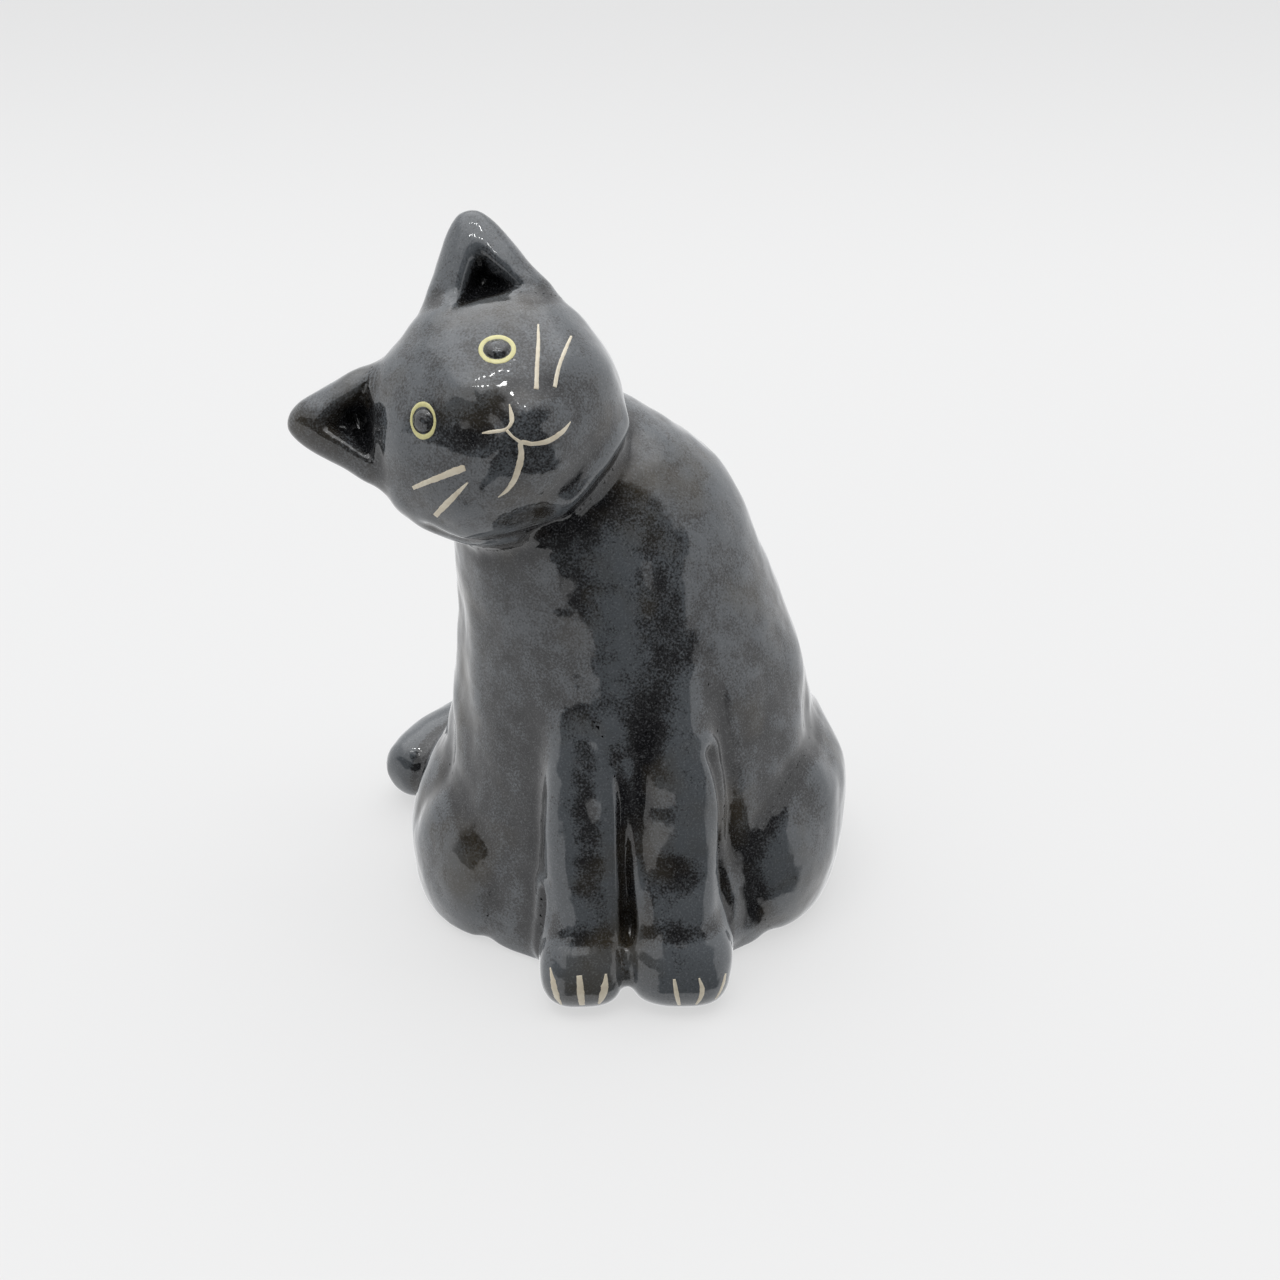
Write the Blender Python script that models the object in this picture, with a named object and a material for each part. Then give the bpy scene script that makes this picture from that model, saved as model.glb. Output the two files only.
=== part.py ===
"""A hand-built ceramic cat, about 93 mm tall, seated with its head tilted and looking up.

The clay pieces are modelled as the potter makes them, before they are luted together: a hollow
pinched trunk with an open foot, a head ball with two ears, two forelegs with paws, two haunch
pads seated in shallow pockets and a tail coil. The eyes, the whiskers, the nose and mouth and
the claws are thin deposits of coloured slip that follow the clay under them. The cat faces -Y
and +Z is up, in metres.
"""

from math import cos, pi, radians, sin

import bmesh
import bpy
import numpy as np
from mathutils import Matrix, Vector
from mathutils.bvhtree import BVHTree

MM = 0.001
JOINT_GAP = 0.3 * MM  # clearance between neighbouring solids, where the real clay is luted

# Driving dimensions of the trunk, a bell that leans to the cat's right as it rises.
# Each row is height, centre x, centre y, half width, half depth, in millimetres.
TRUNK_SECTIONS = (
    (0, -0.4, 0.8, 28.2, 27.6),
    (3, -0.3, 0.8, 28.8, 28.4),
    (10, 0.4, 1.0, 27.6, 28.2),
    (20, 0.9, 1.2, 25.4, 26.4),
    (31, 0.5, 1.2, 23.2, 23.8),
    (42, -0.8, 1.2, 21.2, 21.2),
    (51, -3.4, 1.6, 19.0, 18.6),
    (60, -6.6, 2.5, 16.6, 15.8),
    (66.5, -9.8, 3.6, 12.4, 11.6),
    (70, -11.6, 4.4, 6.6, 6.4),
    (71.2, -12.0, 4.6, 0.0, 0.0),
)
TRUNK_WALL = 5.0 * MM
CAVITY_TOP = 56.0  # height in millimetres at which the hollow closes
POCKET_DEPTH = 2.4 * MM  # how far a haunch pad is let into the trunk's wall
POINT_SIZE = 0.05 * MM  # a section smaller than this is drawn as a single point

HEAD_CENTRE = (-14.9 * MM, -5.2 * MM, 70.4 * MM)
HEAD_PITCH = radians(-33)  # looks up by this much
HEAD_ROLL = radians(-45)  # leans to the cat's right by this much
HEAD_HALF_WIDTH = 16.2 * MM
HEAD_HALF_DEPTH = 14.6 * MM
HEAD_ABOVE = 17.2 * MM  # centre to crown
HEAD_BELOW = 13.4 * MM  # centre to chin

# The eyes' places are sideways and up from the head's centre, in millimetres, as seen from
# straight in front of the face.
EYE_MIDDLE = -0.3
EYE_SIDEWAYS = 6.3
EYE_UP = 6.2
EYE_RING_RADIUS = 2.05 * MM
EYE_RING_WIDTH = 0.7 * MM
PUPIL_RADIUS = 1.35 * MM
PUPIL_HEIGHT = 0.5 * MM  # half the thickness of the bead
SLIP_THICKNESS = 0.36 * MM


def clear_scene():
    for obj in list(bpy.data.objects):
        bpy.data.objects.remove(obj, do_unlink=True)


def new_collection(name):
    collection = bpy.data.collections.new(name)
    bpy.context.scene.collection.children.link(collection)
    return collection


def new_material(name, colour, roughness):
    material = bpy.data.materials.new(name)
    material.use_nodes = True
    shader = material.node_tree.nodes["Principled BSDF"]
    shader.inputs["Base Color"].default_value = (*colour, 1.0)
    shader.inputs["Roughness"].default_value = roughness
    shader.inputs["Metallic"].default_value = 0.0
    return material


def finish_mesh(name, mesh_maker, collection, material=None, crease=40):
    """Turns a bmesh into a named, smooth-shaded object in the given collection."""
    bmesh.ops.recalc_face_normals(mesh_maker, faces=mesh_maker.faces)
    mesh = bpy.data.meshes.new(name)
    mesh_maker.to_mesh(mesh)
    mesh_maker.free()
    mesh.shade_smooth()
    mesh.set_sharp_from_angle(angle=radians(crease))
    obj = bpy.data.objects.new(name, mesh)
    collection.objects.link(obj)
    if material:
        mesh.materials.append(material)
    return obj


def smooth_rows(rows, count):
    """Reads a table of rows as a Catmull-Rom curve and returns count rows evenly spread on it."""
    keys = np.array(rows, float)
    steps = np.concatenate([[0], np.cumsum(np.linalg.norm(np.diff(keys, axis=0), axis=1))])
    padded = np.vstack([2 * keys[0] - keys[1], keys, 2 * keys[-1] - keys[-2]])
    found = []
    for at in np.linspace(0, steps[-1], count):
        i = min(int(np.searchsorted(steps, at, side="right")) - 1, len(keys) - 2)
        t = (at - steps[i]) / (steps[i + 1] - steps[i])
        a, b, c, d = padded[i : i + 4]
        square, cube = 2 * a - 5 * b + 4 * c - d, 3 * b - a - 3 * c + d
        found.append((2 * b + (c - a) * t + square * t**2 + cube * t**3) / 2)
    return np.array(found)


def loft(stations, segments):
    """A closed tube through stations of (centre, half axis, half axis). A station whose half
    axes vanish becomes a single point, and any other end is closed with a flat cap."""
    maker = bmesh.new()
    rings = []
    for centre, across, along in stations:
        if across.length < 1e-7:
            rings.append([maker.verts.new(centre)])
            continue
        turns = [2 * pi * k / segments for k in range(segments)]
        rings.append([maker.verts.new(centre + across * cos(t) + along * sin(t)) for t in turns])
    for lower, upper in zip(rings, rings[1:]):
        for k in range(segments):
            corners = [lower[k % len(lower)], lower[(k + 1) % len(lower)]]
            corners += [upper[(k + 1) % len(upper)], upper[k % len(upper)]]
            corners = list(dict.fromkeys(corners))
            maker.faces.new(corners)
    for ring in (rings[0], rings[-1]):
        if len(ring) > 1:
            maker.faces.new(ring)
    return maker


def swept_stations(rows, side, count, grow=0.0):
    """Stations across a path. Each row is x, y, z, half width, half height in millimetres, and
    side is the direction in which the half width is measured."""
    path = smooth_rows(rows, count) * MM
    middles = [Vector(row[:3]) for row in path]
    stations = []
    for i, row in enumerate(path):
        ahead = middles[min(i + 1, count - 1)] - middles[max(i - 1, 0)]
        across = (side - ahead * side.dot(ahead) / ahead.length_squared).normalized()
        upward = ahead.cross(across).normalized()
        width, height = max(row[3], 0) + grow, max(row[4], 0) + grow
        if i in (0, count - 1) and min(row[3], row[4]) < POINT_SIZE:
            width = height = 0.0
        stations.append((middles[i], across * width, upward * height))
    return stations


def difference(obj, cutter):
    modifier = obj.modifiers.new("cut_by_" + cutter.name, "BOOLEAN")
    modifier.operation = "DIFFERENCE"
    modifier.solver = "EXACT"
    modifier.object = cutter


def union(obj, other):
    modifier = obj.modifiers.new("joined_to_" + other.name, "BOOLEAN")
    modifier.operation = "UNION"
    modifier.solver = "EXACT"
    modifier.object = other


def as_cutter(obj):
    obj.hide_render = True
    obj.display_type = "WIRE"
    return obj


# ---- trunk ------------------------------------------------------------------------------


def trunk_stations(rows, count, grow):
    """Level rings of the trunk, from the foot up, with their half axes changed by grow."""
    stations = []
    for z, x, y, width, depth in smooth_rows(rows, count) * MM:
        middle = Vector((x, y, z))
        if min(width, depth) + grow < POINT_SIZE:
            stations.append((middle, Vector(), Vector()))
            continue
        stations.append((middle, Vector((width + grow, 0, 0)), Vector((0, depth + grow, 0))))
    return stations


def make_trunk(parts, cutters, clay):
    """The bell of the trunk, hollow from the foot up to a dome under the neck."""
    trunk = make_trunk_shape("trunk", 0, parts, clay)
    hollow_rows = [row for row in TRUNK_SECTIONS if row[0] < CAVITY_TOP]
    wall = TRUNK_WALL / MM
    rows = [(z, x, y, width - wall, depth - wall) for z, x, y, width, depth in hollow_rows]
    below = (-4, *rows[0][1:])
    last = rows[-1]
    dome = [(CAVITY_TOP - 1, last[1] - 0.8, last[2], last[3] * 0.6, last[4] * 0.6)]
    dome += [(CAVITY_TOP, last[1] - 1, last[2], 0, 0)]
    hollow = finish_mesh("trunk_hollow", loft(trunk_stations([below, *rows, *dome], 16, 0), 40), cutters)
    difference(trunk, as_cutter(hollow))
    return trunk


def make_trunk_shape(name, grow, collection, material=None):
    """The trunk's outer form as a solid, grown or shrunk all round."""
    rings = trunk_stations(TRUNK_SECTIONS, 26, grow)
    while rings[-2][1].length < POINT_SIZE:
        rings.pop()
    return finish_mesh(name, loft(rings, 56), collection, material)


# ---- head -------------------------------------------------------------------------------


def bump(sideways, upward, at, spread):
    """1 at the point at, falling smoothly to 0 over about two spreads."""
    return np.exp(-(((sideways - at[0]) / spread[0]) ** 2) - ((upward - at[1]) / spread[1]) ** 2)


def make_head_ball(name, collection, grow, material=None):
    """The head before its ears: a ball with a broad crown, a narrow chin and a low muzzle.
    Its own axes are X to the cat's left, -Y out of the face and Z to the crown."""
    maker = bmesh.new()
    bmesh.ops.create_uvsphere(maker, u_segments=44, v_segments=28, radius=1.0)
    for vert in maker.verts:
        x, y, z = vert.co
        reach = HEAD_ABOVE if z > 0 else HEAD_BELOW
        sideways, upward = x * HEAD_HALF_WIDTH / MM, z * reach / MM
        front = max(-y, 0.0)
        muzzle = 1.6 * bump(sideways, upward, (-0.3, -4.2), (6.6, 5.4)) * front
        bridge = 0.8 * bump(sideways, upward, (0, 4.5), (3.6, 7.0)) * front
        lift = (muzzle + bridge) * MM + grow
        vert.co = (
            x * (HEAD_HALF_WIDTH + grow),
            y * (HEAD_HALF_DEPTH + lift),
            z * (reach + grow),
        )
    return finish_mesh(name, maker, collection, material)


# ---- ears -------------------------------------------------------------------------------

EAR_POINTS_TO = (0.62, 0.785)  # towards the tip, sideways and up
# Distance from the root, half width, half thickness.
EAR_SECTIONS = (
    (-6, 9.0, 5.6),
    (0, 8.3, 5.2),
    (4, 6.5, 4.3),
    (8, 4.3, 3.3),
    (10.4, 2.9, 2.5),
    (11.9, 1.6, 1.5),
    (12.4, 0, 0),
)
# The three-cornered tool that presses the cup: its blunt end, its broad end and its length.
CUP_FLOOR = 3.4 * MM
CUP_MOUTH = 6.0 * MM
CUP_TOOL_LENGTH = 8.0 * MM
CUP_ROUNDING = 0.9 * MM
CUP_UP = 2.6 * MM  # the cup's middle from the ear's root, towards the tip
CUP_FLOOR_BEHIND = 1.4 * MM  # the cup's floor from the ear's middle plane
CUP_TURN = 0.9 - pi / 6
# Root sideways and up from the head's centre, how far the tip leans outwards, width factor.
EARS = {
    "ear_right": (-1, (-10.0, 11.2), 1.6, 0.92),
    "ear_left": (1, (9.4, 12.0), -1.4, 0.96),
}


def make_ear(name, parts, cutters, clay):
    """A flattened cone with a three-cornered cup pressed into its front."""
    side, root, lean, breadth = EARS[name]
    outward = Vector((side * EAR_POINTS_TO[0], 0, EAR_POINTS_TO[1]))
    across = Vector((side * EAR_POINTS_TO[1], 0, -EAR_POINTS_TO[0]))
    foot = Vector((root[0], 0.5, root[1])) * MM
    tip_reach = EAR_SECTIONS[-1][0] * MM
    stations = []
    for reach, width, thickness in smooth_rows(EAR_SECTIONS, 12) * MM:
        middle = foot + outward * reach + across * lean * MM * max(reach, 0) / tip_reach
        if min(width, thickness) < POINT_SIZE:
            stations.append((middle, Vector(), Vector()))
            continue
        stations.append((middle, across * width * breadth, Vector((0, thickness, 0))))
    ear = finish_mesh(name, loft(stations, 24), parts, clay)

    cup = bmesh.new()
    bmesh.ops.create_cone(
        cup, cap_ends=True, segments=3, radius1=CUP_FLOOR, radius2=CUP_MOUTH, depth=CUP_TOOL_LENGTH
    )
    bmesh.ops.bevel(
        cup, geom=cup.edges[:], offset=CUP_ROUNDING, segments=3, affect="EDGES", profile=0.5
    )
    cup_object = finish_mesh(name + "_cup", cup, cutters)
    middle = foot + outward * CUP_UP + across * lean * 0.35 * MM
    middle.y -= CUP_TOOL_LENGTH / 2 + CUP_FLOOR_BEHIND
    facing = Matrix.Rotation(pi / 2, 4, "X")
    turn = Matrix.Rotation(side * CUP_TURN, 4, "Y")
    cup_object.matrix_world = Matrix.Translation(middle) @ turn @ facing
    difference(ear, as_cutter(cup_object))
    return ear, cup_object


# ---- forelegs ---------------------------------------------------------------------------

# Each leg: centre line x, y, z and half width, half depth, from the shoulder down.
LEG_RIGHT = (
    (-4.6, -6, 52, 3.0, 3.0),
    (-5.0, -12.5, 42, 4.2, 4.8),
    (-5.4, -21, 27, 4.6, 5.0),
    (-5.5, -26, 11, 4.6, 4.8),
    (-5.6, -27.5, -1, 4.8, 5.0),
)
LEG_LEFT = (
    (5.2, -4, 56, 4.0, 3.0),
    (6.0, -12, 44, 5.0, 5.0),
    (6.8, -21, 28, 5.2, 5.2),
    (7.2, -26, 11, 5.2, 5.2),
    (7.5, -27.5, -1, 5.4, 5.2),
)
# Paw: centre x, y, z and half sizes.
PAW_RIGHT = ((-5.7, -29.4, 4.2), (5.6, 7.0, 5.6))
PAW_LEFT = ((7.5, -29.0, 4.6), (6.6, 7.2, 6.4))


def ellipsoid(half_sizes, subdivisions=3):
    maker = bmesh.new()
    bmesh.ops.create_icosphere(maker, subdivisions=subdivisions, radius=1.0)
    bmesh.ops.scale(maker, vec=Vector(half_sizes) * MM, verts=maker.verts)
    return maker


def floor_cutter(cutters):
    """A slab under the foot that trims every piece flat at the height of the ground."""
    maker = bmesh.new()
    bmesh.ops.create_cube(maker, size=0.2)
    slab = finish_mesh("ground", maker, cutters)
    slab.location.z = -0.1
    return as_cutter(slab)


def make_foreleg(name, rows, paw, trims, parts, cutters, clay):
    stations = swept_stations(rows, Vector((1, 0, 0)), 14)
    leg = finish_mesh(name, loft(stations, 24), parts, clay)
    pad = finish_mesh(name + "_paw", ellipsoid(paw[1]), cutters)
    pad.location = Vector(paw[0]) * MM
    union(leg, as_cutter(pad))
    for trim in trims:
        difference(leg, trim)
    return leg


# ---- haunches and tail ------------------------------------------------------------------

# Haunch: centre x, y, z and half sizes.
HAUNCHES = {
    "haunch_right": ((-17.0, -1.0, 5.0), (12.6, 20.0, 17.0)),
    "haunch_left": ((17.5, 0.0, 9.0), (12.6, 21.4, 18.2)),
}
TAIL_ROWS = (
    (12, 24.0, 5.0, 3.0, 3.0),
    (4, 30.5, 5.0, 4.8, 4.8),
    (-9, 30.5, 5.0, 5.0, 5.0),
    (-21, 24.0, 5.0, 5.0, 5.0),
    (-29, 14.8, 5.0, 5.0, 5.0),
    (-31.2, 11.2, 5.0, 3.6, 3.6),
    (-32.0, 10.0, 5.0, 0, 0),
)


def make_pad(name, place, half_sizes, collection, material=None):
    pad = finish_mesh(name, ellipsoid(half_sizes, 4), collection, material)
    pad.location = Vector(place) * MM
    return pad


def make_haunch(name, trunk, cores, trims, parts, cutters, clay):
    """A pad of clay let into a shallow pocket in the trunk. The pocket is the pad's own shape,
    grown by the joint gap, down to a core that follows the trunk."""
    place, half_sizes = HAUNCHES[name]
    pad_core, pocket_core = cores
    haunch = make_pad(name, place, half_sizes, parts, clay)
    for trim in (pad_core, *trims):
        difference(haunch, trim)
    grown = [size + JOINT_GAP / MM for size in half_sizes]
    pocket = make_pad(name + "_pocket", place, grown, cutters)
    difference(pocket, pocket_core)
    difference(trunk, as_cutter(pocket))
    clearance = make_pad(name + "_clearance", place, grown, cutters)
    return as_cutter(clearance)


# ---- slip decoration --------------------------------------------------------------------

NOSE = ((-2.7, 0.0), (-1.5, -1.0), (-0.4, -1.9), (0.7, -1.1), (1.9, -0.1))
PHILTRUM = ((-0.4, -2.7), (-0.4, -3.6))
MOUTH = (
    (-6.6, -6.8),
    (-5.1, -7.0),
    (-3.3, -6.6),
    (-1.8, -5.7),
    (-0.4, -4.3),
    (1.0, -5.5),
    (2.5, -6.4),
    (4.1, -6.8),
    (5.4, -6.6),
)
WHISKERS = {
    "whisker_right_upper": ((-7.4, -1.3), (-10.2, -0.1), (-12.9, 1.0)),
    "whisker_right_lower": ((-8.8, -2.6), (-11.2, -2.9), (-13.4, -2.8)),
    "whisker_left_upper": ((5.8, -0.8), (8.6, 1.8), (11.4, 4.4)),
    "whisker_left_lower": ((7.6, -2.2), (10.3, -0.7), (12.9, 0.5)),
}
# Claws: sideways from the paw's centre at the top and at the bottom of the stroke.
CLAWS_RIGHT = {"outer": (-3.9, -2.8), "middle": (-0.3, -0.1), "inner": (3.3, 2.3)}
CLAWS_LEFT = {"inner": (-1.4, -0.8), "middle": (1.9, 1.5), "outer": (5.2, 4.1)}
CLAW_HEIGHTS = (6.6, 4.5, 2.3)

NOSE_WIDTH = 0.55 * MM
PHILTRUM_WIDTH = 0.45 * MM
MOUTH_WIDTH = 0.65 * MM
WHISKER_WIDTH = 0.65 * MM
CLAW_WIDTH = 0.75 * MM
INTO_FACE = Vector((0, 1, 0))


def slip_line(name, tree, points, width, parts, slip, taper=0.45):
    """A thin ribbon of slip laid over the surface in tree. Points are pairs of sideways and up,
    and each is dropped onto the surface from the front. Taper is the width left at the ends."""
    rows = smooth_rows([(a, b, 0) for a, b in points], max(4, 2 * len(points) + 1))
    laid = []
    for a, b, _ in rows * MM:
        place, normal, _, _ = tree.ray_cast(Vector((a, -0.1, b)), INTO_FACE)
        laid.append((place + normal * (JOINT_GAP + SLIP_THICKNESS / 2), normal))
    stations = []
    last = len(laid) - 1
    for i, (place, normal) in enumerate(laid):
        ahead = (laid[min(i + 1, last)][0] - laid[max(i - 1, 0)][0]).normalized()
        share = taper + (1 - taper) * sin(pi * i / last)
        across = ahead.cross(normal).normalized() * width / 2 * share
        stations.append((place, across, normal * SLIP_THICKNESS / 2))
    return finish_mesh(name, loft(stations, 6), parts, slip)


def tree_of(obj):
    graph = bpy.context.evaluated_depsgraph_get()
    return BVHTree.FromObject(obj, graph)


def flat_ring(radius, half_width, half_height):
    """A torus, pressed flat."""
    bpy.ops.mesh.primitive_torus_add(
        major_radius=radius, minor_radius=half_width, major_segments=32, minor_segments=8
    )
    torus = bpy.context.object
    maker = bmesh.new()
    maker.from_mesh(torus.data)
    bpy.data.objects.remove(torus, do_unlink=True)
    bmesh.ops.scale(maker, vec=(1, 1, half_height / half_width), verts=maker.verts)
    return maker


def make_eye(name, side, tree, parts, yellow, black):
    """A ring of yellow slip round a low bead of black glaze, both laid on the face."""
    start = Vector(((EYE_MIDDLE + side * EYE_SIDEWAYS) * MM, -0.1, EYE_UP * MM))
    place, normal, _, _ = tree.ray_cast(start, INTO_FACE)
    turn = normal.to_track_quat("Z", "Y").to_matrix().to_4x4()
    stand = Matrix.Translation(place) @ turn

    ring_maker = flat_ring(EYE_RING_RADIUS, EYE_RING_WIDTH / 2, SLIP_THICKNESS / 2)
    ring = finish_mesh("eye_ring_" + name, ring_maker, parts, yellow)
    ring.matrix_world = stand @ Matrix.Translation((0, 0, JOINT_GAP + SLIP_THICKNESS / 2))

    bead = ellipsoid((PUPIL_RADIUS / MM, PUPIL_RADIUS / MM, PUPIL_HEIGHT / MM))
    pupil = finish_mesh("pupil_" + name, bead, parts, black)
    pupil.matrix_world = stand @ Matrix.Translation((0, 0, JOINT_GAP + PUPIL_HEIGHT))
    return ring, pupil


def stand_on_origin(parts, cutters):
    """Moves the whole figure, cutters included, so that the middle of its foot is the origin."""
    bpy.context.view_layer.update()
    graph = bpy.context.evaluated_depsgraph_get()
    points = []
    for obj in parts.objects:
        if obj.type == "MESH":
            shown = obj.evaluated_get(graph)
            points += [shown.matrix_world @ vert.co for vert in shown.data.vertices]
    lowest, highest = np.min(points, axis=0), np.max(points, axis=0)
    middle = (lowest + highest) / 2
    stand = bpy.data.objects.new("stand", None)
    parts.objects.link(stand)
    for obj in [*parts.objects, *cutters.objects]:
        if obj != stand and obj.parent is None:
            obj.parent = stand
    stand.location = (-middle[0], -middle[1], -lowest[2])


def make_head(parts, cutters, glaze, cream, yellow, black):
    """The head with its ears and face, made upright and then tilted as one. Returns the grown
    head that trims its neighbours."""
    head_frame = bpy.data.objects.new("head_frame", None)
    parts.objects.link(head_frame)
    head_frame.matrix_world = (
        Matrix.Translation(HEAD_CENTRE)
        @ Matrix.Rotation(HEAD_PITCH, 4, "X")
        @ Matrix.Rotation(HEAD_ROLL, 4, "Y")
    )
    head = make_head_ball("head", parts, 0, glaze)
    tree = tree_of(head)
    head_clearance = as_cutter(make_head_ball("head_clearance", cutters, JOINT_GAP))
    on_head = [head, head_clearance]
    for name in EARS:
        ear, cup = make_ear(name, parts, cutters, glaze)
        difference(ear, head_clearance)
        on_head += [ear, cup]
    for name, side in (("right", -1), ("left", 1)):
        on_head += make_eye(name, side, tree, parts, yellow, black)
    on_head.append(slip_line("nose_line", tree, NOSE, NOSE_WIDTH, parts, cream))
    on_head.append(slip_line("philtrum_line", tree, PHILTRUM, PHILTRUM_WIDTH, parts, cream, 0.9))
    on_head.append(slip_line("mouth_line", tree, MOUTH, MOUTH_WIDTH, parts, cream))
    for name, points in WHISKERS.items():
        on_head.append(slip_line(name, tree, points, WHISKER_WIDTH, parts, cream, 0.7))
    for obj in on_head:
        obj.matrix_world = head_frame.matrix_world @ obj.matrix_world
    return head_clearance


def make_claws(side, leg, paw, claws, parts, slip):
    """Three strokes of slip down the front of a paw."""
    leg_tree = tree_of(leg)
    middle = paw[0][0]
    for claw, (top, bottom) in claws.items():
        across = (middle + top, middle + (top + bottom) / 2, middle + bottom)
        points = tuple(zip(across, CLAW_HEIGHTS))
        slip_line(f"claw_{side}_{claw}", leg_tree, points, CLAW_WIDTH, parts, slip, 0.5)


def make_leg_clearances(name, rows, paw, cutters):
    """The leg and its paw, grown by the joint gap, which trim the haunch behind them."""
    stations = swept_stations(rows, Vector((1, 0, 0)), 14, JOINT_GAP)
    shank = finish_mesh(name + "_clearance", loft(stations, 24), cutters)
    place, half_sizes = paw
    grown = [size + JOINT_GAP / MM for size in half_sizes]
    pad = make_pad(name + "_paw_clearance", place, grown, cutters)
    return as_cutter(shank), as_cutter(pad)


def main():
    clear_scene()
    parts = new_collection("ceramic_cat_figurine")
    cutters = new_collection("cutters")
    glaze = new_material("charcoal_glaze", (0.045, 0.052, 0.060), 0.18)
    cream = new_material("cream_slip", (0.72, 0.66, 0.52), 0.35)
    yellow = new_material("yellow_slip", (0.78, 0.72, 0.30), 0.30)
    black = new_material("black_glaze", (0.015, 0.016, 0.018), 0.10)

    ground = floor_cutter(cutters)
    trunk_clearance = as_cutter(make_trunk_shape("trunk_clearance", JOINT_GAP, cutters))
    head_clearance = make_head(parts, cutters, glaze, cream, yellow, black)
    trunk = make_trunk(parts, cutters, glaze)
    difference(trunk, head_clearance)

    leg_clearances = []
    legs = (
        ("foreleg_right", LEG_RIGHT, PAW_RIGHT, CLAWS_RIGHT),
        ("foreleg_left", LEG_LEFT, PAW_LEFT, CLAWS_LEFT),
    )
    for name, rows, paw, claws in legs:
        leg = make_foreleg(name, rows, paw, (ground, trunk_clearance), parts, cutters, glaze)
        make_claws(name.split("_")[1], leg, paw, claws, parts, cream)
        leg_clearances += make_leg_clearances(name, rows, paw, cutters)

    pad_core = as_cutter(make_trunk_shape("pad_core", -POCKET_DEPTH, cutters))
    pocket_core = as_cutter(make_trunk_shape("pocket_core", -POCKET_DEPTH - JOINT_GAP, cutters))
    trims = (ground, *leg_clearances)
    haunch_clearances = []
    for name in HAUNCHES:
        cores = (pad_core, pocket_core)
        haunch_clearances.append(make_haunch(name, trunk, cores, trims, parts, cutters, glaze))

    tail_stations = swept_stations(TAIL_ROWS, Vector((0, 0, 1)), 26)
    tail = finish_mesh("tail", loft(tail_stations, 20), parts, glaze)
    for trim in (ground, trunk_clearance, *haunch_clearances):
        difference(tail, trim)

    stand_on_origin(parts, cutters)


main()
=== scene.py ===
"""A hand-built ceramic cat in charcoal glaze, seated with its head tilted, on a pale studio floor."""

from math import cos, pi, radians, sin

import bmesh
import bpy
import numpy as np
from mathutils import Matrix, Vector, noise
from mathutils.bvhtree import BVHTree


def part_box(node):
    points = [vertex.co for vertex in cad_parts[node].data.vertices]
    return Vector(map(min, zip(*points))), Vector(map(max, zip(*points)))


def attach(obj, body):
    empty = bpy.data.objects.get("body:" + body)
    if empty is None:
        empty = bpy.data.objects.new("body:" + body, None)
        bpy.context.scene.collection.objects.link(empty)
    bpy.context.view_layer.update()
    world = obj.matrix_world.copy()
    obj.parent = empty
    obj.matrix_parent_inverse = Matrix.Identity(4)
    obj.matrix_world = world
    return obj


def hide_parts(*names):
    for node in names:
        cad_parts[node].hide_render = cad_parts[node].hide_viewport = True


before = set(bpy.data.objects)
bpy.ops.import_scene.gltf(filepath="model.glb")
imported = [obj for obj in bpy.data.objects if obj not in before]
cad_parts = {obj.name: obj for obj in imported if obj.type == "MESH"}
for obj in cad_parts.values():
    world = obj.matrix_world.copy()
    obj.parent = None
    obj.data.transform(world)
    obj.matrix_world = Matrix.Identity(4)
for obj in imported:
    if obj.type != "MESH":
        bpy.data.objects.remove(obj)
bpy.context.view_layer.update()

MM = 0.001
scene = bpy.context.scene

# ---- Camera -----------------------------------------------------------------------------------
# It stands in front of the cat, a little over 0.4 m away, and looks down on it by 33 degrees.
# The cat sits left of and below the middle of the picture, so it looks past the foot.

CAMERA_DISTANCE = 0.421
CAMERA_DOWN = radians(33)
CAMERA_ANGLE = radians(24)
LOOKS_AT = Vector((8.1, 16.4, 24.7)) * MM


def add_object(name, data):
    obj = bpy.data.objects.new(name, data)
    scene.collection.objects.link(obj)
    return obj


camera = add_object("camera", bpy.data.cameras.new("camera"))
camera.data.sensor_fit = "HORIZONTAL"
camera.data.angle = CAMERA_ANGLE
camera.data.clip_start = 0.01
camera.location = LOOKS_AT + CAMERA_DISTANCE * Vector((0, -cos(CAMERA_DOWN), sin(CAMERA_DOWN)))
camera.rotation_euler = (pi / 2 - CAMERA_DOWN, 0, 0)
scene.camera = camera

# ---- Studio floor and light -------------------------------------------------------------------
# A sheet of pale card on the table, in a tent of white cloth that is open towards the camera.
# The room behind the opening is dim, and it shows as the dark reflections in the glaze.

FLOOR_SIZE = 6.0
FLOOR_COLOUR = (0.20, 0.20, 0.20)
FLOOR_PAINTED_BOUNCE = (0.60, 0.49)  # painted light that stands in for light bounced round the tent and lifts the shadow: near the cat, and far behind it
PAINTED_BOUNCE_FADES = (0.15, 0.38)  # where behind the cat the painted light begins and ends its fading, darker farther back, in metres


def wire(tree, source, target):
    tree.links.new(source, target)


def node(tree, kind, **settings):
    made = tree.nodes.new(kind)
    for key, value in settings.items():
        setattr(made, key, value)
    return made


def noise_at(tree, place, scale, **settings):
    """A noise texture's node. The scale is how many lumps there are in a metre."""
    made = node(tree, "ShaderNodeTexNoise")
    wire(tree, place, made.inputs["Vector"])
    made.inputs["Scale"].default_value = scale
    for key, value in settings.items():
        made.inputs[key].default_value = value
    return made


def ranged(tree, value, span, result=(0.0, 1.0), interpolation="LINEAR"):
    """A value that runs over span, changed to run over result."""
    made = node(tree, "ShaderNodeMapRange", interpolation_type=interpolation)
    wire(tree, value, made.inputs["Value"])
    for key, number in zip(("From Min", "From Max", "To Min", "To Max"), (*span, *result)):
        made.inputs[key].default_value = number
    return made.outputs["Result"]


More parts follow.
